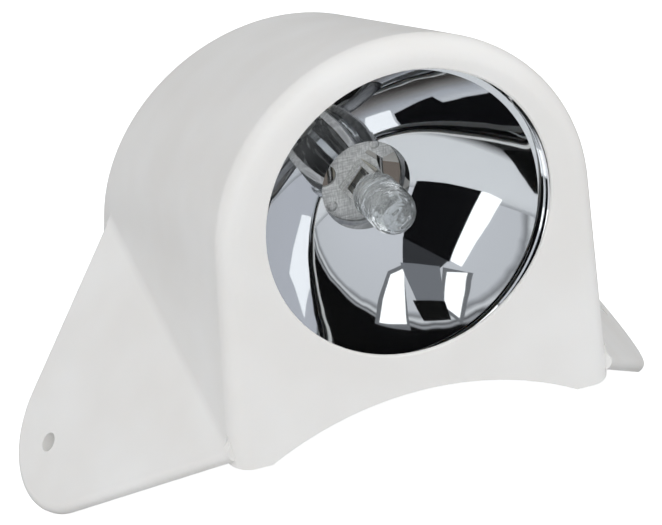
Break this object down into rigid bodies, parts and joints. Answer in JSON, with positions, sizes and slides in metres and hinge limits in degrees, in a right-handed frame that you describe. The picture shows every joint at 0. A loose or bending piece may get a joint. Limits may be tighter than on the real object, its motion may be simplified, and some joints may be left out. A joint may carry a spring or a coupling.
{
  "type": "mast deck light",
  "caption": "White arched mast deck light with a saddle base, screw ears, a round clear glass front, a chromed parabolic reflector and a halogen bulb.",
  "frame": {"origin": "on the crest line of the mast, at the front wall of the housing, where the saddle rests", "axes": "+Y up the mast and away from the beam, +Z outwards from the mast, +X to the right seen from the front"},
  "size_m": [0.168, 0.1042, 0.139],
  "materials": {
    "white_plastic": "white moulded plastic, satin",
    "clear_glass": "clear pressed glass",
    "black_rubber": "black rubber",
    "reflector_chrome": "bright metallised reflector",
    "ring_plastic": "black moulded plastic",
    "zinc_steel": "bright zinc plated steel",
    "cap_metal": "satin nickel plated cap metal",
    "quartz": "clear quartz glass",
    "tungsten": "drawn tungsten",
    "foil_metal": "dark molybdenum foil",
    "ceramic": "off-white ceramic",
    "spring_steel": "bright spring steel",
    "red_insulation": "red lead insulation",
    "black_insulation": "black lead insulation",
    "boot_vinyl": "translucent grey vinyl boot",
    "tinned_brass": "tinned brass",
    "block_nylon": "natural nylon"
  },
  "bodies": {
    "light": {"housing": "white_plastic", "lens": "clear_glass", "lens_seal": "black_rubber", "reflector": "reflector_chrome", "retaining_ring": "ring_plastic", "ring_screws": "zinc_steel", "bulb_base": "cap_metal", "bulb_glass": "quartz", "bulb_foils": "foil_metal", "bulb_filament": "tungsten", "bulb_bushing": "ceramic", "bulb_lead": "black_insulation", "splice_barrel": "tinned_brass", "splice_boot": "boot_vinyl", "seat_plate": "zinc_steel", "plate_rivets": "tinned_brass", "earth_tab": "tinned_brass", "earth_sleeve": "boot_vinyl", "feed_lead": "red_insulation", "earth_lead": "black_insulation", "terminal_block": "block_nylon", "block_tubes": "tinned_brass", "clamp_screws": "zinc_steel", "block_screw": "zinc_steel", "cable_grommet": "black_rubber"},
    "clip": {"bulb_clip": "spring_steel"}
  },
  "joints": [
    {"name": "clip_hinge", "type": "hinge", "parent": "light", "child": "clip", "pos_m": [-0.002, 0.04443, 0.05419], "axis": [1, 0, 0], "range_deg": [0, 88]}
  ]
}
